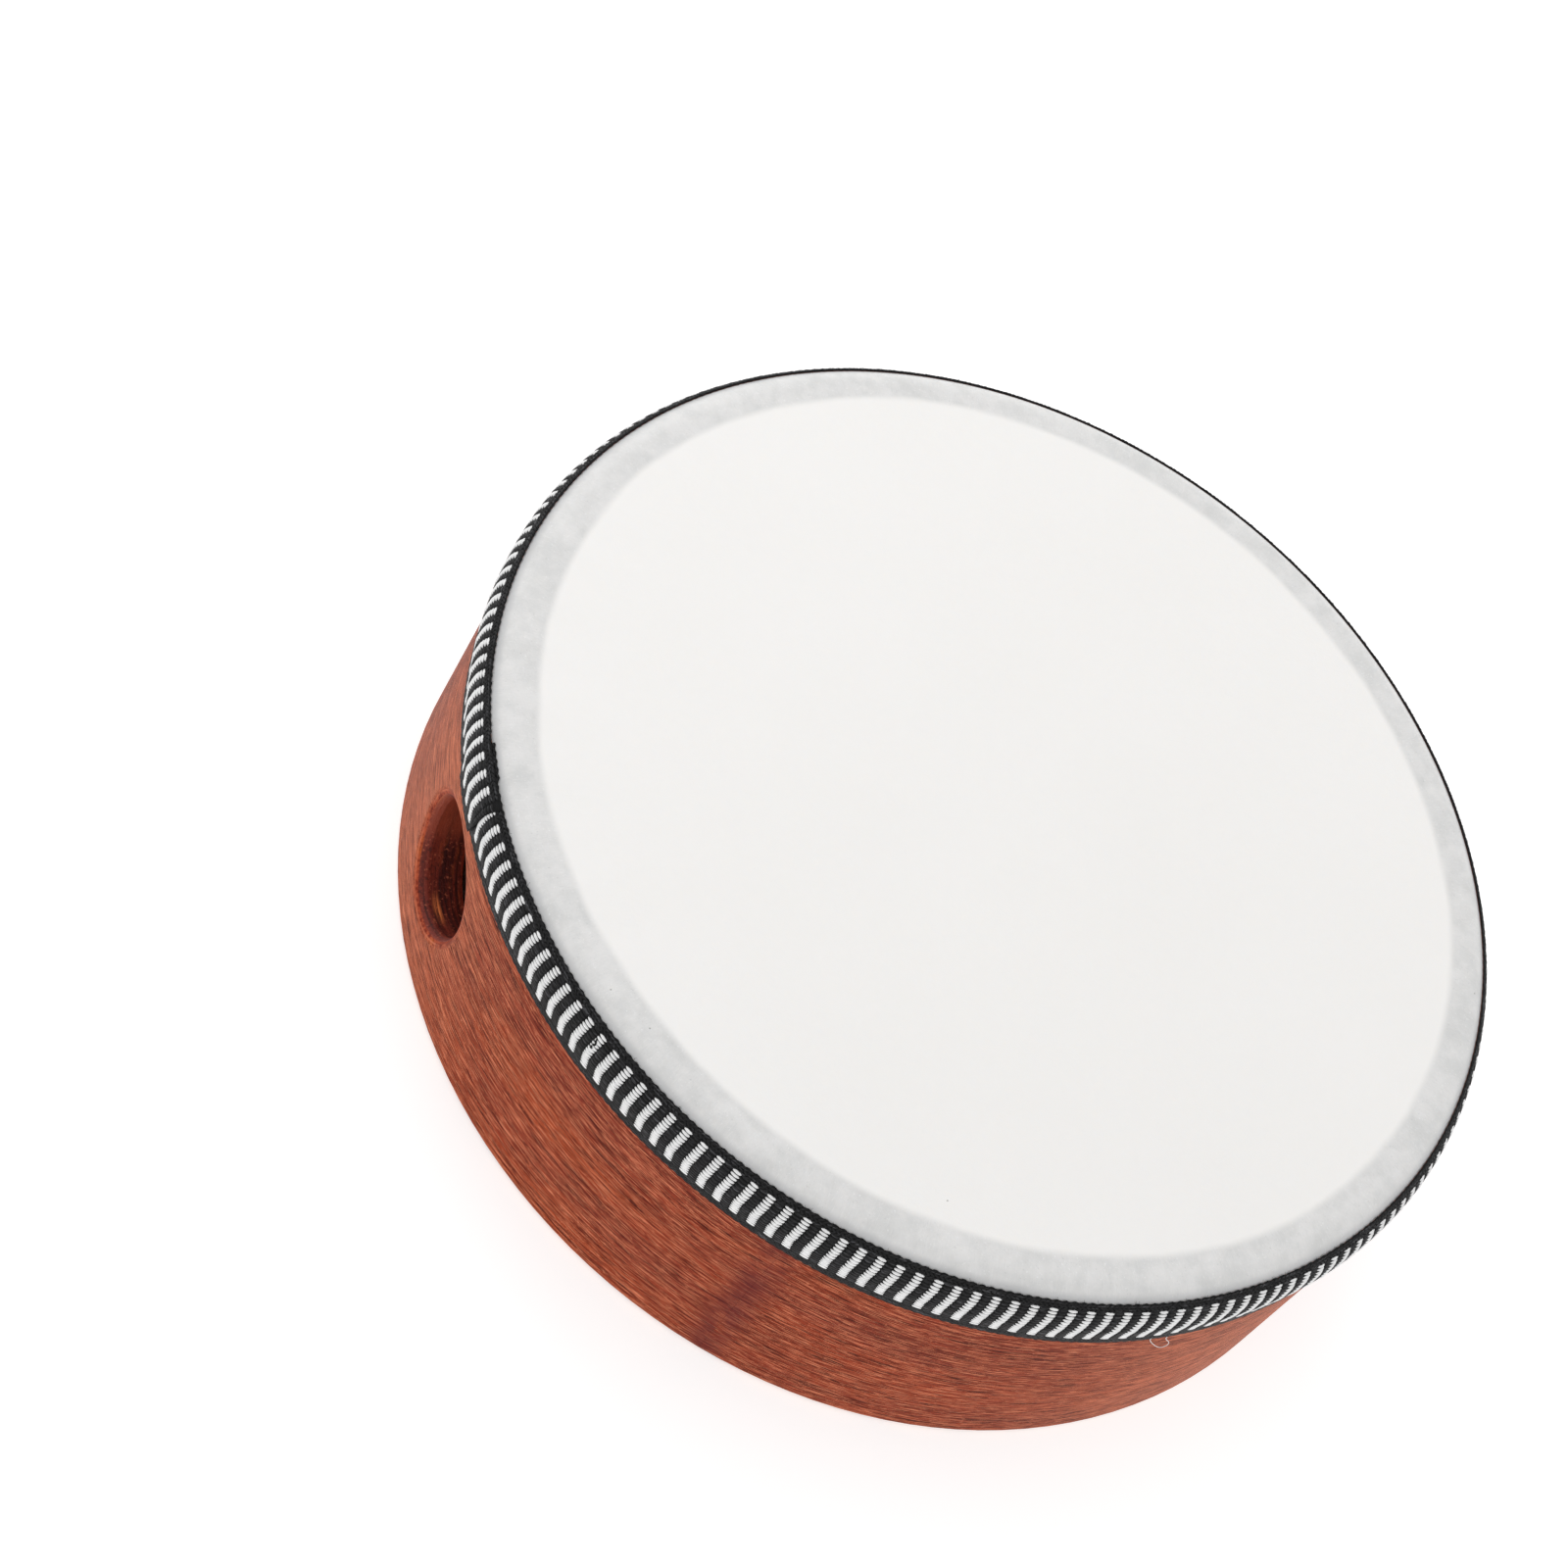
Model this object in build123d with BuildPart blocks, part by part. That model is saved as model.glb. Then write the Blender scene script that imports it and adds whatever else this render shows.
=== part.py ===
"""Frame drum: a bent plywood hoop, a glued-on natural skin and a woven trim ribbon.

Millimetres, +Z up. The drum stands on its open back rim with the skin on top. The origin
is the centre of the back rim, on the surface it stands on, and the thumb hole faces -Y.
Every layer is a solid of its own, as it would come apart if the glue were steamed loose.
Angles are in degrees, counter-clockwise about +Z from +X.
"""

import os
from math import cos, degrees, radians, sin

from build123d import *

# Hoop
SHELL_RADIUS = 100.0
DRUM_HEIGHT = 56.0  # back rim to playing surface
HEAD_SHOULDER = 5.0  # round-over of the outer edge that the skin is pulled over
BEARING_EDGE = 2.0  # round-over of the inner edge under the skin
RIM_ROUND = 2.0  # both edges of the back rim
PLIES = (  # name, thickness and the angle of its butt joint, from the outside in
    ("outer_face_veneer", 0.6, -34.2),
    ("outer_cross_ply", 2.0, 96.0),
    ("outer_long_ply", 1.0, 210.0),
    ("core_cross_ply", 3.4, 152.0),
    ("inner_long_ply", 0.8, 330.0),
    ("inner_cross_ply", 0.4, 76.0),
    ("inner_face_veneer", 0.5, 28.3),
)
BUTT_GAP = 0.03  # open width of the joint between the two ends of a ply

# Thumb hole
THUMB_HOLE_RADIUS = 12.5
THUMB_HOLE_ROUND = 2.0
THUMB_HOLE_HEIGHT = 24.0  # hole centre above the back rim

# Skin
SKIN_THICKNESS = 0.35
SKIN_SKIRT = 11.0  # how far the skin comes down the side
GLUE_THICKNESS = 0.1  # both glue films, under the skin and under the ribbon

# Trim ribbon
RIBBON_WIDTH = 12.5
RIBBON_THICKNESS = 0.7
RIBBON_DROP = 13.6  # its lower edge, below the playing surface
OVERLAP_START = -94.0  # one end of the ribbon lies over the other between these angles
OVERLAP_END = -87.0
OVERLAP_RISE = 0.5  # how much the upper layer stands proud there, pressed flat

# Worked out from the dimensions above
WALL = sum(thickness for _, thickness, _ in PLIES)
INNER_RADIUS = SHELL_RADIUS - WALL
WOOD_TOP = DRUM_HEIGHT - SKIN_THICKNESS - GLUE_THICKNESS
SHOULDER_CENTRE = (SHELL_RADIUS - HEAD_SHOULDER, WOOD_TOP - HEAD_SHOULDER)
SKIRT_BOTTOM = DRUM_HEIGHT - SKIN_SKIRT
RIBBON_BOTTOM = DRUM_HEIGHT - RIBBON_DROP

# Distance of each layer's inside and outside from the wood
SKIN_INSIDE = GLUE_THICKNESS
SKIN_OUTSIDE = SKIN_INSIDE + SKIN_THICKNESS
RIBBON_INSIDE = SKIN_OUTSIDE + GLUE_THICKNESS
RIBBON_OUTSIDE = RIBBON_INSIDE + RIBBON_THICKNESS
OVERLAP_OUTSIDE = RIBBON_OUTSIDE + OVERLAP_RISE

# The ribbon goes straight up the side, and the rest of its width bends over the shoulder
RIBBON_STRAIGHT = SHOULDER_CENTRE[1] - RIBBON_BOTTOM
RIBBON_BEND_RADIUS = HEAD_SHOULDER + (RIBBON_INSIDE + RIBBON_OUTSIDE) / 2
RIBBON_EDGE_ANGLE = degrees((RIBBON_WIDTH - RIBBON_STRAIGHT) / RIBBON_BEND_RADIUS)


def finish(piece, name):
    """Label a finished piece and write it under its node name."""
    piece.part.label = name
    export_step(piece.part, f"parts/{name}.step")


def layer_section(inside, outside, bottom, edge_angle=90, flat_from=None, turn=0):
    """Half-section of a layer laid over the hoop's shoulder, between two distances from the wood.

    It goes down the side to bottom and up over the shoulder to edge_angle above level. With
    flat_from it goes on across the flat top, in to that radius. turn is the section's angle.
    """
    with BuildSketch(Plane.XZ.rotated((0, 0, turn))) as section:
        with BuildLine():
            outer_arc = CenterArc(SHOULDER_CENTRE, HEAD_SHOULDER + outside, 0, edge_angle)
            inner_arc = CenterArc(SHOULDER_CENTRE, HEAD_SHOULDER + inside, 0, edge_angle)
            lower_outer_corner = (SHELL_RADIUS + outside, bottom)
            lower_inner_corner = (SHELL_RADIUS + inside, bottom)
            Polyline(outer_arc @ 0, lower_outer_corner, lower_inner_corner, inner_arc @ 0)
            if flat_from is None:
                Line(outer_arc @ 1, inner_arc @ 1)
            else:
                upper_corner = (flat_from, WOOD_TOP + outside)
                under_corner = (flat_from, WOOD_TOP + inside)
                Polyline(outer_arc @ 1, upper_corner, under_corner, inner_arc @ 1)
        make_face()
    return section.sketch


os.makedirs("parts", exist_ok=True)

# The hoop as it is turned and sanded, before it is divided into its plies
with BuildPart() as hoop:
    with BuildSketch(Plane.XZ) as wall_section:
        with Locations((INNER_RADIUS, 0)):
            Rectangle(WALL, WOOD_TOP, align=Align.MIN)
        fillet(wall_section.vertices().group_by(Axis.Y)[0], RIM_ROUND)
        fillet(wall_section.vertices().group_by(Axis.Y)[-1].sort_by(Axis.X)[0], BEARING_EDGE)
        fillet(wall_section.vertices().group_by(Axis.Y)[-1].sort_by(Axis.X)[-1], HEAD_SHOULDER)
    revolve(axis=Axis.Z)
    # A hole through one side of the wall, along -Y, rounded over where it comes out
    with BuildSketch(Plane.XZ):
        with Locations((0, THUMB_HOLE_HEIGHT)):
            Circle(THUMB_HOLE_RADIUS)
    extrude(until=Until.LAST, mode=Mode.SUBTRACT)
    fillet(hoop.edges().group_by(Axis.Y)[0], THUMB_HOLE_ROUND)

# Each ply is the part of the hoop between two radii, cut open at its butt joint
ply_radius = SHELL_RADIUS
for ply_name, ply_thickness, joint_angle in PLIES:
    with BuildPart() as ply:
        add(hoop.part)
        with BuildSketch():
            Circle(ply_radius)
            Circle(ply_radius - ply_thickness, mode=Mode.SUBTRACT)
        extrude(amount=WOOD_TOP, mode=Mode.INTERSECT)
        with BuildSketch(Plane.XY.rotated((0, 0, joint_angle))):
            Rectangle(2 * SHELL_RADIUS, BUTT_GAP, align=(Align.MIN, Align.CENTER))
        extrude(amount=WOOD_TOP, mode=Mode.SUBTRACT)
    finish(ply, ply_name)
    ply_radius -= ply_thickness

# Glue film between the wood and the skin, over the bearing edge and down the side
with BuildPart() as skin_glue_band:
    add(layer_section(0, SKIN_INSIDE, SKIRT_BOTTOM, flat_from=INNER_RADIUS + BEARING_EDGE))
    revolve(axis=Axis.Z)
finish(skin_glue_band, "skin_glue_band")

# The skin: a tight flat disc that turns down over the shoulder into a skirt
with BuildPart() as head_skin:
    add(layer_section(SKIN_INSIDE, SKIN_OUTSIDE, SKIRT_BOTTOM, flat_from=0))
    revolve(axis=Axis.Z)
finish(head_skin, "head_skin")

# Glue film under the ribbon, thicker where it fills the step below the skin's lower edge
with BuildPart() as trim_glue_band:
    add(layer_section(SKIN_OUTSIDE, RIBBON_INSIDE, SKIRT_BOTTOM, RIBBON_EDGE_ANGLE))
    with BuildSketch(Plane.XZ):
        with Locations((SHELL_RADIUS, RIBBON_BOTTOM)):
            Rectangle(RIBBON_INSIDE, SKIRT_BOTTOM - RIBBON_BOTTOM, align=Align.MIN)
    revolve(axis=Axis.Z)
finish(trim_glue_band, "trim_glue_band")

# Woven ribbon, whose last few millimetres lie over its first
with BuildPart() as trim_ribbon:
    add(layer_section(RIBBON_INSIDE, RIBBON_OUTSIDE, RIBBON_BOTTOM, RIBBON_EDGE_ANGLE))
    revolve(axis=Axis.Z)
    add(
        layer_section(
            RIBBON_OUTSIDE, OVERLAP_OUTSIDE, RIBBON_BOTTOM, RIBBON_EDGE_ANGLE, turn=OVERLAP_START
        )
    )
    revolve(axis=Axis.Z, revolution_arc=OVERLAP_END - OVERLAP_START)
finish(trim_ribbon, "trim_ribbon")
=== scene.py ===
"""A small frame drum with a natural skin and a woven trim ribbon, as a Blender scene.

The wooden plies and the glue films are the CAD solids with materials of their own. The skin
and the ribbon are made here: the skin as one sheet pulled over the shoulder, the ribbon as a
black ground with every span of yarn laid on it. Metres and the row frame throughout, with
lengths on the drum written in millimetres times MM.
"""

from math import cos, pi, radians, sin, tau

import bpy
import numpy as np
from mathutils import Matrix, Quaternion, Vector


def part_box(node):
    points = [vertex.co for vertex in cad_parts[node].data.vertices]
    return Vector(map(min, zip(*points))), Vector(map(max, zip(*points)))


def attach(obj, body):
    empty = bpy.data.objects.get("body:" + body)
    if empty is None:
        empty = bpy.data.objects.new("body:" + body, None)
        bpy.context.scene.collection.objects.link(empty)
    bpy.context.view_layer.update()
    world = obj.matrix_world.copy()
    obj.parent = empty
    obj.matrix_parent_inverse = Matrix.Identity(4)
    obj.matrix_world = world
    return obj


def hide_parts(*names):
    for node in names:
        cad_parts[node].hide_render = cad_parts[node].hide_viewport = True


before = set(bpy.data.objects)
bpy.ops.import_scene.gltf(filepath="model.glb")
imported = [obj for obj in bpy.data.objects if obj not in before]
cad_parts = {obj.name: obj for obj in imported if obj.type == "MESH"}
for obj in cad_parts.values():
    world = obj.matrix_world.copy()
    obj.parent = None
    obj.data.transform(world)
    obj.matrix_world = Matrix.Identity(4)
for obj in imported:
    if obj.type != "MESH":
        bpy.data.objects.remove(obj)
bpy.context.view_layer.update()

MM = 0.001

# The hoop, from the frame and the sizes of the CAD
HEAD_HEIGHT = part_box("head_skin")[1][2]
SKIN_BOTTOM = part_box("head_skin")[0][2]
SKIN_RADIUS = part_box("head_skin")[1][0]
HOOP_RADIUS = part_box("outer_face_veneer")[1][0]
WALL_THICKNESS = 8.7 * MM
INNER_RADIUS = HOOP_RADIUS - WALL_THICKNESS
SHOULDER_ROUND = 5.0 * MM  # round-over of the wood under the skin
SHOULDER_CENTRE_RADIUS = HOOP_RADIUS - SHOULDER_ROUND
SHOULDER_CENTRE_HEIGHT = HEAD_HEIGHT - (SKIN_RADIUS - SHOULDER_CENTRE_RADIUS)
THUMB_HOLE_RADIUS = 12.5 * MM
THUMB_HOLE_HEIGHT = 24.0 * MM
OUTER_SEAM = radians(-34.2)
INNER_SEAM = radians(28.3)
CORE_GLUE_LINES = ((95.7 * MM, 1.2 * MM), (92.9 * MM, 0.6 * MM))  # radius and reach
INNER_GLUE_LINES = ((92.0 * MM, 0.4 * MM),)
PAINTED_LIGHT_STRETCHES = [  # azimuth, reach to either side and strength of painted light on the veneers, where the hoop's sides are lit more
    (radians(-95), 0.45, 0.45),
    (radians(25), 0.60, 0.50),
]

# The skin
SKIN_THICKNESS = 0.35 * MM
SKIN_SPECKS = [  # azimuth and radius of small dark specks in it
    (radians(-21.4), 86.4 * MM),
    (radians(67.0), 96.7 * MM),
    (radians(-64.0), 95.2 * MM),
    (radians(-58.5), 93.6 * MM),
]
SPECK_RADIUS = 0.22 * MM

# The ribbon, woven flat and then laid round the hoop
RIBBON_WIDTH = 12.5 * MM
RIBBON_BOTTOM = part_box("trim_ribbon")[0][2]
RIBBON_RADIUS = SKIN_RADIUS + 0.5 * MM
RIBBON_START = radians(-94.0)  # the end that lies underneath
OVERLAP_ANGLE = radians(7.0)
RIBBON_LENGTH = (tau + OVERLAP_ANGLE) * RIBBON_RADIUS
RIBBON_UNDERSIDE = 0.10 * MM
GROUND_TOP = 0.42 * MM
SPAN_FLOOR = 0.38 * MM  # just inside the ground, where the spans and warps come up from

# Its pattern of white bars on black
BAR_PITCH_ANGLE = radians(2.0039)
FIRST_BAR_ANGLE = radians(-86.5)
BAR_COUNT = 179
BACK_STRETCH = radians(1.05)  # the pattern is drawn out by this much round the back
ROW_COUNT = 13
PATTERN_BOTTOM = 1.45 * MM
PATTERN_TOP = 11.40 * MM
FRAYED_BAR = 13  # the bar with a dark tangle over it, where the first bar is 0
FRAYED_ROWS = (8, 9, 10)

# What has come loose from it
LOOP_THICKNESS = 0.13 * MM
FIBRE_THICKNESS = 0.045 * MM
FIBRE_COUNT = 220

# Camera: where it looks from, round and above the drum, and how it is turned
CAMERA_AZIMUTH = radians(50.32)
CAMERA_ELEVATION = radians(49.99)
CAMERA_ROLL = radians(35.40)
CAMERA_AIM = Vector((-0.7, -45.6, 56.0)) * MM
CAMERA_DISTANCE = 622.9 * MM
CAMERA_LENS = 80.82  # millimetres, as the sensor is
CAMERA_SENSOR = 36.0

# Light: a bright white surround, one large soft lamp, and a floor that is a lit white table
SURROUND_STRENGTH = 0.86
LAMP_PLACE = (-0.95, 0.05, 0.80)
LAMP_SIZE = 1.0
LAMP_POWER = 4.5
FLOOR_GLOW = 0.62
FLOOR_REACH = 3.0

BLACK = (0, 0, 0, 1)
WHITE = (1, 1, 1, 1)

chance = np.random.default_rng(7)


# ---------------------------------------------------------------- meshes


def mesh_piece(name, points, faces, material):
    """A new smooth object from points and faces, with one material, riding on the drum."""
    mesh = bpy.data.meshes.new(name)
    mesh.from_pydata(np.asarray(points).tolist(), [], faces)
    mesh.materials.append(material)
    mesh.polygons.foreach_set("use_smooth", [True] * len(mesh.polygons))
    mesh.update()
    piece = bpy.data.objects.new(name, mesh)
    bpy.context.scene.collection.objects.link(piece)
    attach(piece, "root")
    return piece


def tube_faces(rings, sides, first=0, capped=False):
    """Faces of a tube whose points are stored ring by ring, from the point numbered first."""
    faces = []
    for ring in range(rings - 1):
        here = first + ring * sides
        beyond = here + sides
        for side in range(sides):
            following = (side + 1) % sides
            faces.append((here + side, here + following, beyond + following, beyond + side))
    if capped:
        faces.append(tuple(first + side for side in reversed(range(sides))))
        faces.append(tuple(first + (rings - 1) * sides + side for side in range(sides)))
    return faces


def smoothstep(values, start, end):
    """0 before start, 1 after end and a smooth rise between."""
    share = np.clip((np.asarray(values) - start) / (end - start), 0, 1)
    return share * share * (3 - 2 * share)


def wander(angles, lowest, highest):
    """An uneven wave round the drum, about -1 to 1, from harmonics lowest to highest."""
    total = np.zeros_like(angles)
    for harmonic in range(lowest, highest + 1):
        total += chance.normal() * np.sin(harmonic * angles + chance.uniform(0, tau))
    return total / (highest - lowest + 1) ** 0.5


# ---------------------------------------------------------------- materials


def linear(red, green, blue):
    """A screen colour of 0 to 255 as the linear colour a shader takes."""
    channels = []
    for value in (red, green, blue):
        share = value / 255
        channels.append(share / 12.92 if share < 0.04045 else ((share + 0.055) / 1.055) ** 2.4)
    return (*channels, 1)


def blend(first, second, share):
    """The colour share of the way from first to second."""
    return tuple(one + (other - one) * share for one, other in zip(first, second))


def dusky(colour):
    """The colour where the stain has gone purplish and dark."""
    return blend(colour, linear(112, 48, 42), 0.45)


def warmed(colour):
    """The colour where the stain is thin and orange."""
    return blend(colour, linear(196, 92, 44), 0.5)


class Paint:
    """Builds one material's nodes. Its steps, such as add, ramp and mix, return sockets.

    x, y and z are a place on the drum, and radius is how far it is from the drum's axis.
    """

    NOISE_STEP = 9.7  # how far apart two noises of one material lie in the fourth dimension

    def __init__(self, name):
        self.material = bpy.data.materials.new(name)
        self.material.use_nodes = True
        self.nodes = self.material.node_tree.nodes
        self.links = self.material.node_tree.links
        self.nodes.clear()
        place = self.nodes.new("ShaderNodeTexCoord").outputs["Object"]
        parts = self.nodes.new("ShaderNodeSeparateXYZ")
        self.links.new(place, parts.inputs[0])
        self.x, self.y, self.z = parts.outputs
        self.radius = self.length(self.x, self.y)
        self.noises = 0

    def feed(self, socket, value):
        """Links value to socket, or sets it there if it is a constant."""
        if isinstance(value, bpy.types.NodeSocket):
            self.links.new(value, socket)
        else:
            socket.default_value = value

    def math(self, operation, *values):
        step = self.nodes.new("ShaderNodeMath")
        step.operation = operation
        for socket, value in zip(step.inputs, values):
            self.feed(socket, value)
        return step.outputs[0]

    def add(self, first, second):
        return self.math("ADD", first, second)

    def less(self, first, second):
        return self.math("SUBTRACT", first, second)

    def times(self, first, second):
        return self.math("MULTIPLY", first, second)

    def length(self, first, second):
        """How long the diagonal is of a rectangle with these two sides."""
        return self.math("SQRT", self.add(self.times(first, first), self.times(second, second)))

    def ramp(self, value, start, end):
        """0 where value is at start, 1 where it is at end, and smooth between."""
        step = self.nodes.new("ShaderNodeMapRange")
        step.interpolation_type = "SMOOTHSTEP"
        self.feed(step.inputs["Value"], value)
        self.feed(step.inputs["From Min"], start)
        self.feed(step.inputs["From Max"], end)
        return step.outputs["Result"]

    def near(self, value, centre, reach):
        """1 where value is at centre, down to 0 at reach on either side."""
        return self.ramp(self.math("ABSOLUTE", self.less(value, centre)), reach, 0.0)

    def spot(self, azimuth, radius, reach):
        """1 on the playing face at a place given by azimuth and radius, 0 from reach away."""
        aside = self.less(self.x, radius * cos(azimuth))
        along = self.less(self.y, radius * sin(azimuth))
        return self.ramp(self.length(aside, along), reach, 0.3 * reach)

    def grain(self, place, outward, detail, roughness):
        """Noise at a place of two or three values, with features outward of its own fineness."""
        vector = self.nodes.new("ShaderNodeCombineXYZ")
        for socket, value in zip(vector.inputs, place):
            self.feed(socket, value)
        step = self.nodes.new("ShaderNodeTexNoise")
        step.noise_dimensions = "4D"
        self.links.new(vector.outputs[0], step.inputs["Vector"])
        self.noises += 1
        depth = self.add(self.times(self.radius, outward), self.NOISE_STEP * self.noises)
        self.feed(step.inputs["W"], depth)
        step.inputs["Scale"].default_value = 1.0
        step.inputs["Detail"].default_value = detail
        step.inputs["Roughness"].default_value = roughness
        return step.outputs["Fac"]

    def noise(self, along, upward, outward, detail=2.0, roughness=0.5, height=None):
        """Noise with its own fineness, in features a metre, round, up and out of the drum."""
        height = self.z if height is None else height
        place = (self.times(self.x, along), self.times(self.y, along), self.times(height, upward))
        return self.grain(place, outward, detail, roughness)

    def rays(self, around, outward, detail=2.0, roughness=0.5):
        """Noise whose streaks point out from the drum's axis, in features a turn and a metre."""
        shares = [self.math("DIVIDE", side, self.radius) for side in (self.x, self.y)]
        place = [self.times(share, around / tau) for share in shares]
        return self.grain(place, outward, detail, roughness)

    def mix(self, share, first, second):
        """Colour first, with second over it as far as share says."""
        step = self.nodes.new("ShaderNodeMix")
        step.data_type = "RGBA"
        factor, colour_a, colour_b = (step.inputs[i] for i in (0, 6, 7))
        self.feed(factor, share)
        self.feed(colour_a, first)
        self.feed(colour_b, second)
        return step.outputs[2]

    def over(self, colour, tint, value, start, end, strength=1.0):
        """The colour, with tint over it from where value is at start to where it is at end."""
        return self.mix(self.times(self.ramp(value, start, end), strength), colour, tint)

    def finish(self, colour, roughness, relief=None, depth=0.0, **settings):
        """Ends the material in one Principled shader, with relief as a bump depth high.

        settings are the shader's other inputs, as constants or sockets, with _ for a space.
        """
        shader = self.nodes.new("ShaderNodeBsdfPrincipled")
        self.feed(shader.inputs["Base Color"], colour)
        self.feed(shader.inputs["Roughness"], roughness)
        for setting, value in settings.items():
            self.feed(shader.inputs[setting.replace("_", " ")], value)
        if relief is not None:
            bump = self.nodes.new("ShaderNodeBump")
            bump.inputs["Distance"].default_value = depth
            self.feed(bump.inputs["Height"], relief)
            self.links.new(bump.outputs[0], shader.inputs["Normal"])
        output = self.nodes.new("ShaderNodeOutputMaterial")
        self.links.new(shader.outputs[0], output.inputs[0])
        return self.material


def from_hole(paint):
    """How far a place on the front of the hoop is from the wall of the thumb hole."""
    distance = paint.length(paint.x, paint.less(paint.z, THUMB_HOLE_HEIGHT))
    behind = paint.ramp(paint.y, -80 * MM, -70 * MM)  # a metre more, away from the front
    return paint.add(paint.less(distance, THUMB_HOLE_RADIUS), behind)


def stained_in_hole(paint, colour, light):
    """The colour, with the hole's round-over in the face's red and its wall dark maroon, with a
    painted glint across the wall.
    """
    distance = from_hole(paint)
    grain = paint.noise(1500, 1500, 300, 2.0, 0.6)
    rings = paint.noise(60, 60, 1300, 2.0, 0.6)
    patches = paint.noise(120, 120, 420, 3.0, 0.6)

    bend = paint.over(linear(120, 44, 30), linear(176, 82, 54), grain, 0.35, 0.65)
    bend = paint.over(bend, linear(192, 96, 44), patches, 0.54, 0.66, 0.6)
    bend = paint.over(bend, linear(84, 28, 22), patches, 0.46, 0.36, 0.6)
    colour = paint.over(colour, bend, distance, 2.3 * MM, 1.1 * MM)
    line = paint.times(paint.near(distance, 1.35 * MM, 0.28 * MM), paint.ramp(patches, 0.38, 0.58))
    colour = paint.mix(paint.times(line, 0.55), colour, light)

    hole_wall = paint.over(linear(66, 19, 15), linear(126, 46, 32), rings, 0.36, 0.62)
    hole_wall = paint.over(hole_wall, linear(44, 12, 10), grain, 0.46, 0.34, 0.6)
    hole_wall = paint.over(hole_wall, linear(186, 98, 70), grain, 0.58, 0.70, 0.7)
    hole_wall = paint.over(hole_wall, linear(160, 70, 34), patches, 0.58, 0.70, 0.5)
    hole_wall = paint.over(hole_wall, linear(156, 68, 42), paint.x, -9.6 * MM, -11.8 * MM, 0.6)
    # painted glint: an orange streak across the hole's wall, broken along its ply rings, where the
    # wall would catch the light
    wall_glint = paint.near(paint.x, 1.5 * MM, 4.5 * MM)
    wall_glint = paint.times(wall_glint, paint.near(paint.radius, 96.4 * MM, 1.2 * MM))
    wall_glint = paint.times(wall_glint, paint.ramp(rings, 0.38, 0.52))
    hole_wall = paint.mix(wall_glint, hole_wall, linear(244, 134, 76))
    return paint.over(colour, hole_wall, distance, 0.85 * MM, 0.45 * MM)


def face_veneer(name, base, light, dark, seam_angle):
    """Stained veneer with its grain round the hoop, paler in patches where the back rim rounds over.
    """
    paint = Paint(name)
    sway = paint.times(paint.less(paint.noise(28, 45, 0, 2.0), 0.5), 2.0 * MM)
    height = paint.add(paint.z, sway)
    broad = paint.noise(10, 60, 60, 3.0)
    warm = paint.noise(16, 90, 90, 3.0)
    streaks = paint.noise(45, 1500, 1500, 3.0, 0.6, height)
    grooves = paint.noise(150, 6600, 6600, 2.0, 0.6, height)
    fibres = paint.noise(210, 9400, 9400, 1.0, 0.5, height)
    pores = paint.noise(260, 9800, 9800, 1.0, 0.5, height)
    specks = paint.noise(1100, 4600, 4600, 1.0, 0.5, height)

    colour = paint.over(dusky(base), base, broad, 0.36, 0.60)
    colour = paint.over(colour, warmed(base), warm, 0.50, 0.68, 0.5)
    angle = paint.math("ARCTAN2", paint.y, paint.x)
    # painted light: the veneer turns paler at these azimuths, where the sides of the hoop are lit
    # more
    for lit_angle, reach, strength in PAINTED_LIGHT_STRETCHES:
        pale = paint.near(angle, lit_angle, reach)
        colour = paint.mix(paint.times(pale, strength), colour, light)
    colour = paint.over(colour, dark, streaks, 0.50, 0.34, 0.40)
    # pale hairlines: partly pale grain, partly painted glints where the grain would catch the light
    colour = paint.over(colour, light, fibres, 0.52, 0.60, 0.90)
    groove_strength = paint.add(0.80, paint.times(paint.ramp(streaks, 0.60, 0.40), 0.2))
    colour = paint.over(colour, dark, grooves, 0.48, 0.40, groove_strength)
    colour = paint.over(colour, dark, pores, 0.44, 0.36, 0.6)
    # pale specks: partly pale grain, partly painted glints
    colour = paint.over(colour, light, specks, 0.63, 0.73, 0.6)
    colour = paint.over(colour, dark, specks, 0.37, 0.27, 0.5)

    smudge = paint.near(angle, seam_angle, 0.06)
    smudge = paint.times(smudge, paint.ramp(paint.noise(200, 120, 0, 2.0), 0.25, 0.55))
    colour = paint.mix(paint.times(smudge, 0.6), colour, linear(92, 34, 38))

    # paler in broken patches along the back rim's round-over
    pale_rim = paint.times(paint.ramp(paint.z, 1.9 * MM, 0.9 * MM), 0.75)
    pale_rim = paint.times(pale_rim, paint.ramp(paint.noise(90, 600, 0, 2.0), 0.30, 0.62))
    colour = paint.mix(pale_rim, colour, linear(226, 150, 96))
    colour = stained_in_hole(paint, colour, light)

    relief = paint.add(paint.times(grooves, 0.6), paint.times(fibres, 0.4))
    return paint.finish(colour, 0.5, relief, 0.10 * MM, Specular_IOR_Level=0.04)


def long_ply(name):
    """Pale ply with its grain round the hoop, which takes the stain bright orange."""
    paint = Paint(name)
    streaks = paint.rays(60, 2600, 3.0, 0.6)
    patches = paint.rays(75, 420, 4.0, 0.65)
    colour = paint.over(linear(170, 74, 32), linear(234, 148, 76), streaks, 0.36, 0.64)
    colour = paint.over(colour, linear(112, 42, 28), patches, 0.48, 0.36, 0.75)
    colour = stained_in_hole(paint, colour, linear(226, 150, 112))
    return paint.finish(colour, 0.5, streaks, 0.1 * MM, Specular_IOR_Level=0.25)


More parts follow.
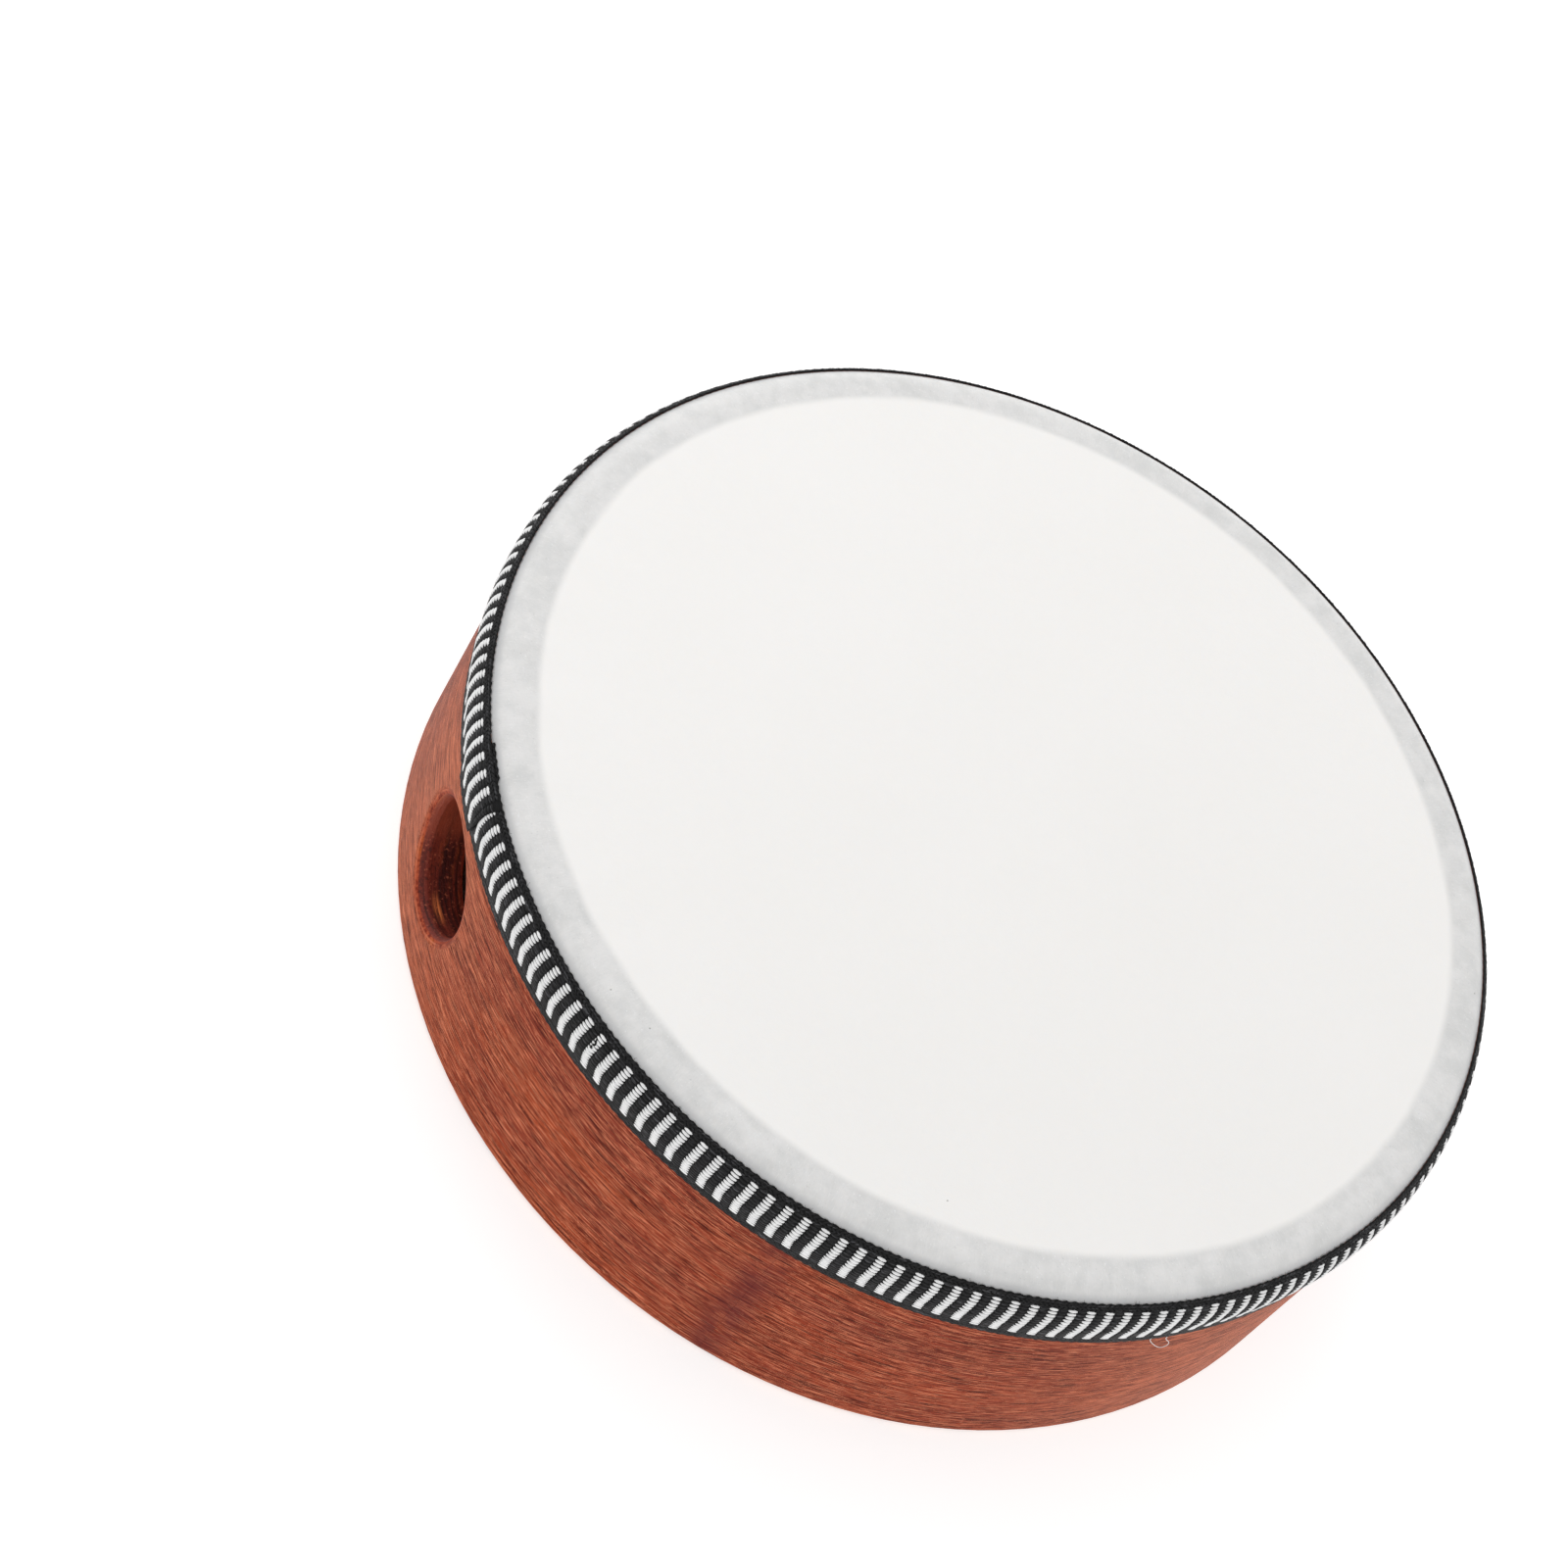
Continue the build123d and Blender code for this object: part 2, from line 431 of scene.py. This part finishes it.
def cross_ply(name, glue_lines=()):
    """Ply with its grain up the hoop: open end grain on the rim, that drinks the stain.

    glue_lines are the radius and reach of each dark line where glue has drawn the stain in.
    """
    paint = Paint(name)
    grain = paint.noise(1500, 60, 0, 3.0, 0.65)
    speckle = paint.noise(3200, 200, 0, 2.0, 0.6)
    patches = paint.rays(85, 620, 4.0, 0.65)
    scratches = paint.rays(140, 3800, 2.0, 0.5)
    colour = paint.over(linear(116, 45, 28), linear(172, 84, 46), grain, 0.35, 0.66)
    colour = paint.over(colour, linear(206, 108, 46), patches, 0.54, 0.66, 0.75)
    for radius, reach in glue_lines:
        drawn_in = paint.near(paint.radius, radius, reach)
        colour = paint.mix(paint.times(drawn_in, 0.8), colour, linear(82, 28, 26))
    colour = paint.over(colour, linear(80, 28, 24), patches, 0.47, 0.37, 0.75)
    colour = paint.over(colour, linear(222, 138, 84), scratches, 0.60, 0.70, 0.5)
    colour = paint.over(colour, linear(226, 154, 100), speckle, 0.60, 0.72, 0.6)
    colour = paint.over(colour, linear(62, 20, 18), speckle, 0.42, 0.32, 0.7)
    colour = stained_in_hole(paint, colour, linear(226, 150, 112))
    return paint.finish(colour, 0.55, speckle, 0.15 * MM, Specular_IOR_Level=0.25)


def glue_film():
    """Dried hide glue, brown with the stain it has drawn from the wood."""
    paint = Paint("hide_glue")
    patches = paint.noise(180, 180, 180, 3.0)
    colour = paint.mix(patches, linear(88, 38, 24), linear(128, 64, 40))
    return paint.finish(colour, 0.32, patches, 0.05 * MM)


def natural_skin():
    """Bleached skin: milky and smooth where it is free, and a cool grey painted shade where wood lies
    under it and keeps light from shining through.
    """
    paint = Paint("natural_skin")
    cloud = paint.noise(24, 24, 0, 4.0, 0.6)
    mottle = paint.noise(190, 190, 0, 4.0, 0.65)
    streaks = paint.rays(2600, 620, 3.0, 0.6)
    grit = paint.noise(2600, 2600, 0, 2.0, 0.6)
    edge = paint.add(paint.radius, paint.times(paint.less(cloud, 0.5), 2.4 * MM))
    edge = paint.add(edge, paint.times(paint.less(mottle, 0.5), 1.2 * MM))

    free = paint.mix(cloud, linear(238, 236, 233), linear(242, 240, 238))
    # painted shade: the skin over the wood is greyer because no light shines through it there, and it
    # keeps its own mottle, streaks and grit
    backed_shade = paint.over(linear(208, 208, 207), linear(223, 222, 221), mottle, 0.30, 0.68)
    backed_shade = paint.over(backed_shade, linear(234, 234, 233), streaks, 0.54, 0.72, 0.35)
    backed_shade = paint.over(backed_shade, linear(196, 197, 198), streaks, 0.44, 0.28, 0.25)
    backed_shade = paint.over(backed_shade, linear(240, 240, 240), grit, 0.62, 0.74, 0.6)
    backed_shade = paint.over(backed_shade, linear(184, 185, 186), grit, 0.36, 0.26, 0.5)
    # painted shade: the skin darkens where it curves down over the shoulder to the ribbon
    ribbon_edge_shade = paint.ramp(paint.z, HEAD_HEIGHT - 0.5 * MM, HEAD_HEIGHT - 1.3 * MM)
    backed_shade = paint.mix(paint.times(ribbon_edge_shade, 0.5), backed_shade, linear(176, 177, 179))
    colour = paint.over(free, backed_shade, edge, INNER_RADIUS - 1.0 * MM, INNER_RADIUS + 0.9 * MM)
    for azimuth, radius in SKIN_SPECKS:
        speck = paint.spot(azimuth, radius, SPECK_RADIUS)
        colour = paint.mix(paint.times(speck, 0.7), colour, linear(120, 116, 112))

    beneath = paint.ramp(paint.z, HEAD_HEIGHT - 0.1 * MM, HEAD_HEIGHT - 0.3 * MM)
    beneath = paint.times(beneath, paint.ramp(paint.radius, INNER_RADIUS + 2 * MM, INNER_RADIUS))
    cream = paint.over(linear(231, 224, 213), linear(241, 237, 229), cloud, 0.30, 0.70)
    colour = paint.mix(beneath, colour, cream)
    return paint.finish(
        colour,
        0.46,
        paint.add(paint.times(mottle, 0.5), paint.times(grit, 0.5)),
        0.06 * MM,
        Subsurface_Weight=0.25,
        Subsurface_Scale=0.5 * MM,
        Subsurface_Radius=(1.0, 0.9, 0.8),
        Specular_IOR_Level=0.5,
    )


def yarn(name, shade, deep, glint, roughness, sheen):
    """Filament yarn: fine fibres along the span, and glints where a strand catches the light."""
    paint = Paint(name)
    fibres = paint.noise(900, 9000, 9000, 2.0, 0.6)
    drift = paint.noise(500, 500, 500, 2.0)
    strokes = paint.noise(420, 3600, 3600, 1.0)
    colour = paint.over(deep, shade, fibres, 0.3, 0.7)
    colour = paint.over(colour, deep, drift, 0.55, 0.35, 0.3)
    colour = paint.over(colour, glint, strokes, 0.55, 0.72, 0.8)
    return paint.finish(
        colour,
        roughness,
        fibres,
        0.06 * MM,
        Sheen_Weight=sheen,
        Sheen_Roughness=0.4,
        Specular_IOR_Level=0.2,
    )


# ---------------------------------------------------------------- the skin


def make_skin(material):
    """The skin as a closed sheet: flat, over the shoulder and down into the skirt."""
    columns = 480
    angles = np.linspace(0, tau, columns, endpoint=False)
    free_radii = np.linspace(4 * MM, 84 * MM, 21)
    puckered_radii = np.linspace(85 * MM, 94.6 * MM, 17)
    bends = np.linspace(pi / 2, 0, 13)
    drops = np.linspace(0, SHOULDER_CENTRE_HEIGHT - SKIN_BOTTOM, 7)[1:]

    def profile(offset):
        """(radius, height) down one face of the sheet, offset in from its outside."""
        bend_radius = SKIN_RADIUS - SHOULDER_CENTRE_RADIUS - offset
        flat = [(radius, HEAD_HEIGHT - offset) for radius in (*free_radii, *puckered_radii)]
        over = [
            (
                SHOULDER_CENTRE_RADIUS + bend_radius * cos(bend),
                SHOULDER_CENTRE_HEIGHT + bend_radius * sin(bend),
            )
            for bend in bends
        ]
        down = [(SKIN_RADIUS - offset, SHOULDER_CENTRE_HEIGHT - drop) for drop in drops]
        return np.array(flat + over + down)

    section = np.vstack([profile(0), profile(SKIN_THICKNESS)[::-1]])
    radius, height = section[:, :1], section[:, 1:]
    pucker = wander(angles, 20, 70) * 0.035 * MM
    slack = wander(angles, 2, 7) * 0.05 * MM
    near_edge = smoothstep(radius, 80 * MM, 93 * MM) * smoothstep(radius, 97 * MM, 94 * MM)
    height = height + pucker * near_edge + slack * np.sin(pi * np.clip(radius / INNER_RADIUS, 0, 1))
    points = np.stack(
        [radius * np.cos(angles), radius * np.sin(angles), height + 0 * angles], axis=-1
    ).reshape(-1, 3)
    faces = tube_faces(len(section), columns)
    centre_top, centre_under = len(points), len(points) + 1
    last = len(points) - columns
    for column in range(columns):
        following = (column + 1) % columns
        faces.append((centre_top, following, column))
        faces.append((centre_under, last + column, last + following))
    points = np.vstack([points, (0, 0, HEAD_HEIGHT), (0, 0, HEAD_HEIGHT - SKIN_THICKNESS)])
    skin = mesh_piece("drum_skin", points, faces, material)
    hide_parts("head_skin")


# ---------------------------------------------------------------- the ribbon

OVERLAP = OVERLAP_ANGLE * RIBBON_RADIUS
PEEK_LENGTH = radians(4.3) * RIBBON_RADIUS  # of the end underneath that shows above the edge
PEEK_RISE = 0.45 * MM
FLATTENED = 0.4  # the share of its thickness that the end underneath loses
CUT_SLANT = 3.2 * MM  # how much further the cut end reaches at its upper edge
STRAIGHT = SHOULDER_CENTRE_HEIGHT - RIBBON_BOTTOM  # how far up the ribbon its bend begins
BEND_RADIUS = SKIN_RADIUS - SHOULDER_CENTRE_RADIUS + 0.45 * MM  # amid the ribbon's thickness
HALF_GROUND = (GROUND_TOP - RIBBON_UNDERSIDE) / 2

# A span's section, two strands side by side, in shares of its width and height
TWIN_STRAND = np.array(
    [(-0.5, -0.3), (-0.43, 0.5), (-0.22, 0.98), (0, 0.82), (0.22, 0.98), (0.43, 0.5), (0.5, -0.3)]
)
SPAN_SLANT = -0.04  # metres up for each metre along the ribbon, as every slant is

# Height and slant of each row of turns in the two cord-like edges
UPPER_SELVAGE = ((11.40 * MM, 0.35), (11.85 * MM, -0.35), (12.30 * MM, 0.30))
LOWER_SELVAGE = ((1.25 * MM, -0.3), (0.80 * MM, 0.3), (0.34 * MM, -0.3))


def cut_at(across):
    """Where the ribbon's upper end is cut off, which is on a slant."""
    return RIBBON_LENGTH + CUT_SLANT * (across / RIBBON_WIDTH - 0.5)


def fullness(across):
    """The share of its thickness that the ribbon keeps, least along its lower edge."""
    return np.interp(across, (0, 2.4 * MM, 6.0 * MM, RIBBON_WIDTH), (0.28, 0.42, 1.0, 0.85))


def bulge(across):
    """How far the ribbon swells out, most where the bars bend."""
    return MM * np.interp(across, (1.8 * MM, 5.0 * MM, 5.6 * MM, RIBBON_WIDTH), (0, 0.26, 0.28, 0.03))


def bar_bend(across):
    """How far back along the ribbon a bar lies at this height, furthest at its bend."""
    return MM * np.interp(across, (1.4 * MM, 4.4 * MM, 5.2 * MM, 11.4 * MM), (0, 0.38, 0.40, 0))


def laid(flat):
    """Points of the flat ribbon, as (along, across, lift), laid round the drum.

    along runs from the end underneath, across from the lower edge and lift out from the skin.
    The ribbon is pressed thin along its lower edge and swells out a little where its bars
    bend. Its last stretch climbs over its first, which is pressed flat beneath and shows as a
    sliver above the upper edge.
    """
    along, across, lift = flat[..., 0], flat[..., 1], flat[..., 2]
    body = lift - RIBBON_UNDERSIDE
    beneath = smoothstep(along, OVERLAP + 1.2 * MM, OVERLAP - 0.6 * MM)
    peek = smoothstep(along, PEEK_LENGTH + 1.0 * MM, PEEK_LENGTH - 0.4 * MM)
    climb = smoothstep(along, RIBBON_LENGTH - OVERLAP - 3.5 * MM, RIBBON_LENGTH - OVERLAP)
    swollen = body * fullness(across) + bulge(across) * np.clip(body / HALF_GROUND, 0, 1)
    lift = RIBBON_UNDERSIDE + swollen * (1 - FLATTENED * beneath) + climb * GROUND_TOP
    across = across + PEEK_RISE * peek
    angle = RIBBON_START + along / RIBBON_RADIUS
    bend = np.clip((across - STRAIGHT) / BEND_RADIUS, 0, None)
    out = SKIN_RADIUS - SHOULDER_CENTRE_RADIUS + lift
    radius = SHOULDER_CENTRE_RADIUS + out * np.cos(bend)
    height = RIBBON_BOTTOM + np.minimum(across, STRAIGHT) + out * np.sin(bend)
    return np.stack([radius * np.cos(angle), radius * np.sin(angle), height], axis=-1)


def make_ground(material):
    """The plain black band that the yarn spans lie on, cut off at both ends."""
    stations = 1600
    scallop_length = 1.73 * MM  # of the small waves along each selvage
    scallop_depth = 0.09 * MM
    edge_bulge = 0.02  # how far the rounded edges stand out, as a share of the width
    middle = RIBBON_UNDERSIDE + HALF_GROUND
    section = [(share, GROUND_TOP) for share in np.linspace(0, 1, 15)]
    for turn in (radians(60), 0, radians(-60)):
        section.append((1 + edge_bulge * cos(turn), middle + HALF_GROUND * sin(turn)))
    section += [(share, RIBBON_UNDERSIDE) for share in np.linspace(1, 0, 8)]
    for turn in (radians(-60), 0, radians(60)):
        section.append((-edge_bulge * cos(turn), middle + HALF_GROUND * sin(turn)))
    width_share, lift = np.array(section).T
    across = width_share * RIBBON_WIDTH
    along = np.linspace(0, 1, stations)[:, None] * cut_at(across)
    scallop = scallop_depth * np.sin(tau * along / scallop_length) * (2 * width_share - 1) ** 5
    flat = np.stack([along, across + scallop, lift + 0 * along], axis=-1)
    faces = tube_faces(stations, len(section), capped=True)
    return mesh_piece("ribbon_ground", laid(flat).reshape(-1, 3), faces, material)


def span_mesh(spans, rings=5):
    """Flat points and faces of many spans of yarn.

    Each span is (along, across, length, width, height, slant, bluntness): a slender closed
    lens that comes up out of the ground, runs along the ribbon and goes down into it again.
    """
    spans = np.asarray(spans)
    along, across, length, width, height, slant, bluntness = (spans[:, i, None] for i in range(7))
    sides = len(TWIN_STRAND)
    foot = TWIN_STRAND[0, 1]
    ring_shares = np.sin(np.linspace(-pi / 2, pi / 2, rings + 2)[1:-1])
    shares = np.concatenate([[-1.0], np.repeat(ring_shares, sides), [1.0]])
    sideways = np.concatenate([[0.0], np.tile(TWIN_STRAND[:, 0], rings), [0.0]])
    upward = np.concatenate([[foot], np.tile(TWIN_STRAND[:, 1], rings), [foot]])
    girth = np.clip(1 - shares**2, 0, None) ** (1 - bluntness)
    girth[:, [0, -1]] = 1  # at the tips, so that they lie as deep as the feet
    flat = np.stack(
        [
            along + shares / 2 * length,
            across + sideways * girth * width + shares / 2 * length * slant,
            SPAN_FLOOR + upward * girth * height,
        ],
        axis=-1,
    )
    last = rings * sides + 1
    lens_faces = tube_faces(rings, sides, first=1)
    for side in range(sides):
        following = (side + 1) % sides
        lens_faces.append((0, 1 + following, 1 + side))
        lens_faces.append((last - sides + side, last - sides + following, last))
    faces = [
        tuple(corner + index * (last + 1) for corner in face)
        for index in range(len(spans))
        for face in lens_faces
    ]
    return flat, faces


def weft_rows():
    """(across, width, height, bluntness) of each row of spans, from the bottom up.

    The upper rows are fat lenses that stand apart at both ends. The lowest lie flat and close,
    like satin. The rows are a little closer together near both edges.
    """
    rows = []
    breadth = PATTERN_TOP - PATTERN_BOTTOM
    for index in range(ROW_COUNT):
        share = (index + 0.5) / ROW_COUNT
        across = PATTERN_BOTTOM + breadth * (share - 0.12 * sin(tau * share) / tau)
        pitch = breadth / ROW_COUNT * (1 - 0.12 * cos(tau * share))
        satin = smoothstep(across, 4.2 * MM, 2.2 * MM)
        width = pitch * (0.95 + 0.03 * satin)
        height = (0.44 - 0.12 * satin) * MM
        rows.append((across, width, height, 0.46 + 0.16 * satin))
    return rows


def trimmed(span):
    """The span with what reaches past the slanted cut left off, or None if nothing stays."""
    along, across, length, *rest = span
    first = along - length / 2
    last = min(along + length / 2, cut_at(across))
    if last - first < 0.25 * MM:
        return None
    return ((first + last) / 2, across, last - first, *rest)


def weave_spans():
    """The white spans and the black spans of the ribbon's pattern, as two lists."""
    pitch = BAR_PITCH_ANGLE * RIBBON_RADIUS
    first_bar = (FIRST_BAR_ANGLE - RIBBON_START) * RIBBON_RADIUS
    quarter = pi / 2 * RIBBON_RADIUS
    white, black = [], []
    for half_step in range(-4, 2 * BAR_COUNT + 6):  # from the overlap to past the cut end
        centre = first_bar + half_step * pitch / 2
        centre += BACK_STRETCH * RIBBON_RADIUS * smoothstep(centre, 2.2 * quarter, 3.6 * quarter)
        is_bar = half_step % 2 == 0 and half_step < 2 * BAR_COUNT
        for row, (across, width, height, bluntness) in enumerate(weft_rows()):
            along = centre - bar_bend(across) + chance.normal(0, 0.02) * MM
            fill = 0.54 - 0.03 * bluntness if is_bar else 0.50
            length = fill * pitch * chance.uniform(0.98, 1.03)
            rise = height * chance.uniform(0.92, 1.05) * (1.0 if is_bar else 0.72)
            slant = SPAN_SLANT + chance.normal(0, 0.015)
            width = width * chance.uniform(0.95, 1.04)
            if half_step == 2 * FRAYED_BAR and row in FRAYED_ROWS:
                tangle = along + chance.uniform(-0.20, -0.05) * length
                lean = chance.uniform(-0.9, 0.9)
                black.append((tangle, across, 0.5 * length, 0.8 * width, 1.6 * rise, lean, 0.2))
            span = trimmed((along, across, length, width, rise, slant, bluntness))
            if span:
                (white if is_bar else black).append(span)
    return white, black


def selvage_spans(edge_rows):
    """Short slanted spans along the edges, like the turns of a cord."""
    turn = 0.88 * MM
    spans = []
    for across, slant in edge_rows:
        for index in range(int(RIBBON_LENGTH / turn)):
            along = (index + 0.5) * turn + chance.normal(0, 0.06) * MM
            width = chance.uniform(0.40, 0.52) * MM
            height = chance.uniform(0.20, 0.30) * MM
            span = trimmed((along, across, 1.25 * MM, width, height, slant, 0.5))
            if span:
                spans.append(span)
    return spans


def binding_warps():
    """Flat points and faces of the fine black warps that hold the pattern down between rows.

    Each is a ridge with its feet in the ground. They come up least between the lowest rows,
    where the spans lie close.
    """
    stations = 900
    aside = np.array([-0.07, -0.02, 0.02, 0.07]) * MM  # one foot, the crest and the other foot
    foot = SPAN_FLOOR - 0.10 * MM
    share = np.linspace(0, 1, stations)[:, None]
    rows = weft_rows()
    points, faces = [], []
    for number, ((lower, _, height, _), (upper, *_)) in enumerate(zip(rows, rows[1:])):
        middle = (lower + upper) / 2
        crest = SPAN_FLOOR + 0.50 * height * smoothstep(middle, 2.0 * MM, 6.0 * MM)
        along = share * cut_at(middle + aside)
        lift = np.array([foot, crest, crest, foot])
        flat = np.stack([along, middle + aside + 0 * along, lift + 0 * along], axis=-1)
        points.append(flat.reshape(-1, 3))
        faces += tube_faces(stations, len(aside), first=number * stations * len(aside))
    return np.vstack(points), faces


def thread_mesh(threads, sides=5, rings=14):
    """Points and faces of fine round threads, each (list of places, thickness).

    A place is (azimuth, radius, height), and a thread is a smooth curve drawn near its places.
    """
    points, faces = [], []
    for places, thickness in threads:
        azimuth, radius, height = np.array(places).T
        path = np.stack([radius * np.cos(azimuth), radius * np.sin(azimuth), height], axis=-1)
        while len(path) < rings:  # each round cuts the corners off
            early = path[:-1] * 0.75 + path[1:] * 0.25
            late = path[:-1] * 0.25 + path[1:] * 0.75
            path = np.vstack([path[:1], np.stack([early, late], axis=1).reshape(-1, 3), path[-1:]])
        forward = np.gradient(path, axis=0)
        forward /= np.linalg.norm(forward, axis=1)[:, None]
        sideways = np.cross(forward, path * (1, 1, 0))
        sideways /= np.linalg.norm(sideways, axis=1)[:, None]
        upward = np.cross(sideways, forward)
        faces += tube_faces(len(path), sides, first=len(points), capped=True)
        for centre, aside, up in zip(path, sideways, upward):
            for turn in np.arange(sides) / sides * tau:
                points.append(centre + (aside * cos(turn) + up * sin(turn)) * thickness / 2)
    return points, faces


def loose_loop():
    """The white thread that hangs in a loop from the ribbon's lower edge.

    Its places are in degrees round the drum, and in millimetres out from the hoop and up from
    the ribbon's lower edge.
    """
    places = [
        (5.1, 1.0, 1.0),
        (5.4, 0.6, -0.4),
        (6.4, 0.4, -2.8),
        (7.6, 0.4, -5.0),
        (8.4, 0.5, -5.8),
        (8.9, 0.6, -4.8),
        (8.5, 0.7, -3.0),
        (7.5, 0.6, -1.2),
        (7.0, 1.0, 0.8),
    ]
    return [
        (radians(azimuth), HOOP_RADIUS + out * MM, RIBBON_BOTTOM + rise * MM)
        for azimuth, out, rise in places
    ]


def stray_fibres(count):
    """Short fibres that have come loose along the ribbon's edges, two in three at the upper."""
    fibres = []
    for number in range(count):
        azimuth = chance.uniform(0, tau)
        reach = chance.uniform(0.25, 0.75) * MM
        lean = chance.uniform(-1, 1) * reach / HOOP_RADIUS
        if number % 3:
            radius, height = SKIN_RADIUS - 0.75 * MM, HEAD_HEIGHT - 1.45 * MM
            start = (azimuth, radius, height)
            bend = (azimuth + 0.4 * lean, radius - 0.2 * MM - 0.4 * reach, height + 0.45 * MM)
            end = (azimuth + lean, radius - 0.3 * MM - reach, height + 0.55 * MM)
        else:
            radius, height = SKIN_RADIUS + 0.25 * MM, RIBBON_BOTTOM + 0.3 * MM
            start = (azimuth, radius, height)
            bend = (azimuth + 0.4 * lean, radius + 0.05 * MM, height - 0.3 * MM - 0.4 * reach)
            end = (azimuth + lean, radius - 0.1 * MM, height - 0.4 * MM - reach)
        fibres.append(([start, bend, end], FIBRE_THICKNESS))
    return fibres


def ribbon_yarn(name, points, faces, material):
    """A piece of yarn or thread that belongs to the ribbon."""
    piece = mesh_piece(name, points, faces, material)
    return piece


def ribbon_spans(name, spans, material):
    """A piece made of many spans, laid round the drum."""
    flat, faces = span_mesh(spans)
    return ribbon_yarn(name, laid(flat).reshape(-1, 3), faces, material)


def make_ribbon(white_yarn, black_yarn, ground):
    """The whole ribbon: ground, pattern, selvages, binding warps and what has come loose."""
    white, black = weave_spans()
    ground_piece = make_ground(ground)
    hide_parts("trim_ribbon")
    warps, warp_faces = binding_warps()
    loop = [(loose_loop(), LOOP_THICKNESS)]
    yarns = [
        ribbon_spans("ribbon_white_weft", white, white_yarn),
        ribbon_spans("ribbon_black_weft", black, black_yarn),
        ribbon_spans("ribbon_upper_selvage", selvage_spans(UPPER_SELVAGE), black_yarn),
        ribbon_spans("ribbon_lower_selvage", selvage_spans(LOWER_SELVAGE), black_yarn),
        ribbon_yarn("ribbon_binding_warps", laid(warps), warp_faces, black_yarn),
        ribbon_yarn("ribbon_loose_thread", *thread_mesh(loop), white_yarn),
        ribbon_yarn("ribbon_stray_fibres", *thread_mesh(stray_fibres(FIBRE_COUNT)), black_yarn),
    ]


# ---------------------------------------------------------------- floor, light and camera


def make_floor():
    """A plain pale floor under the back rim, that glows except where the drum covers it."""
    paint = Paint("pale_floor")
    glow = paint.over(BLACK, WHITE, paint.radius, INNER_RADIUS, HOOP_RADIUS)
    material = paint.finish(
        linear(200, 200, 200), 0.9, Emission_Color=glow, Emission_Strength=FLOOR_GLOW
    )
    mesh = bpy.data.meshes.new("floor")
    corners = [
        (-FLOOR_REACH, -FLOOR_REACH, 0),
        (FLOOR_REACH, -FLOOR_REACH, 0),
        (FLOOR_REACH, FLOOR_REACH, 0),
        (-FLOOR_REACH, FLOOR_REACH, 0),
    ]
    mesh.from_pydata(corners, [], [(0, 1, 2, 3)])
    mesh.materials.append(material)
    floor = bpy.data.objects.new("floor", mesh)
    bpy.context.scene.collection.objects.link(floor)


def set_light():
    """An even white surround, and one large soft lamp that faces the drum from above."""
    world = bpy.data.worlds.new("studio")
    bpy.context.scene.world = world
    world.use_nodes = True
    background = world.node_tree.nodes["Background"]
    background.inputs["Color"].default_value = WHITE
    background.inputs["Strength"].default_value = SURROUND_STRENGTH
    lamp = bpy.data.lights.new("key_light", "AREA")
    lamp.size = LAMP_SIZE
    lamp.energy = LAMP_POWER
    holder = bpy.data.objects.new("key_light", lamp)
    holder.location = LAMP_PLACE
    holder.rotation_mode = "QUATERNION"
    holder.rotation_quaternion = (-Vector(LAMP_PLACE)).to_track_quat("-Z", "Y")
    bpy.context.scene.collection.objects.link(holder)
    bpy.context.scene.view_settings.view_transform = "Standard"


def place_camera():
    """The camera, held at an angle and looking down across the skin."""
    camera = bpy.data.objects.new("camera", bpy.data.cameras.new("camera"))
    camera.data.lens = CAMERA_LENS
    camera.data.sensor_width = CAMERA_SENSOR
    toward_camera = Vector(
        (
            sin(CAMERA_AZIMUTH) * cos(CAMERA_ELEVATION),
            -cos(CAMERA_AZIMUTH) * cos(CAMERA_ELEVATION),
            sin(CAMERA_ELEVATION),
        )
    )
    level = (-toward_camera).to_track_quat("-Z", "Y")
    camera.rotation_mode = "QUATERNION"
    camera.rotation_quaternion = level @ Quaternion((0, 0, 1), CAMERA_ROLL)
    camera.location = CAMERA_AIM + toward_camera * CAMERA_DISTANCE
    bpy.context.scene.collection.objects.link(camera)
    bpy.context.scene.camera = camera


# ---------------------------------------------------------------- putting it together


def finish_cad():
    """Gives every wooden ply and glue film its material."""
    glue = glue_film()
    finishes = {
        "outer_face_veneer": face_veneer(
            "outer_veneer", linear(154, 62, 36), linear(222, 132, 96), linear(56, 12, 5), OUTER_SEAM
        ),
        "outer_cross_ply": cross_ply("outer_cross"),
        "outer_long_ply": long_ply("outer_long"),
        "core_cross_ply": cross_ply("core_cross", CORE_GLUE_LINES),
        "inner_long_ply": long_ply("inner_long"),
        "inner_cross_ply": cross_ply("inner_cross", INNER_GLUE_LINES),
        "inner_face_veneer": face_veneer(
            "inner_veneer", linear(156, 64, 36), linear(214, 122, 76), linear(66, 16, 8), INNER_SEAM
        ),
        "skin_glue_band": glue,
        "trim_glue_band": glue,
    }
    for node_name, material in finishes.items():
        for material_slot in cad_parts[node_name].material_slots:
            material_slot.material = material


finish_cad()
make_skin(natural_skin())
make_ribbon(
    yarn(
        "white_yarn", linear(250, 250, 249), linear(228, 228, 229), linear(254, 254, 254), 0.42, 0.1
    ),
    yarn("black_yarn", linear(37, 37, 38), linear(9, 9, 10), linear(84, 84, 87), 0.5, 0.0),
    yarn("black_ground", linear(16, 16, 17), linear(6, 6, 7), linear(30, 30, 32), 0.7, 0.0),
)
make_floor()
set_light()
place_camera()
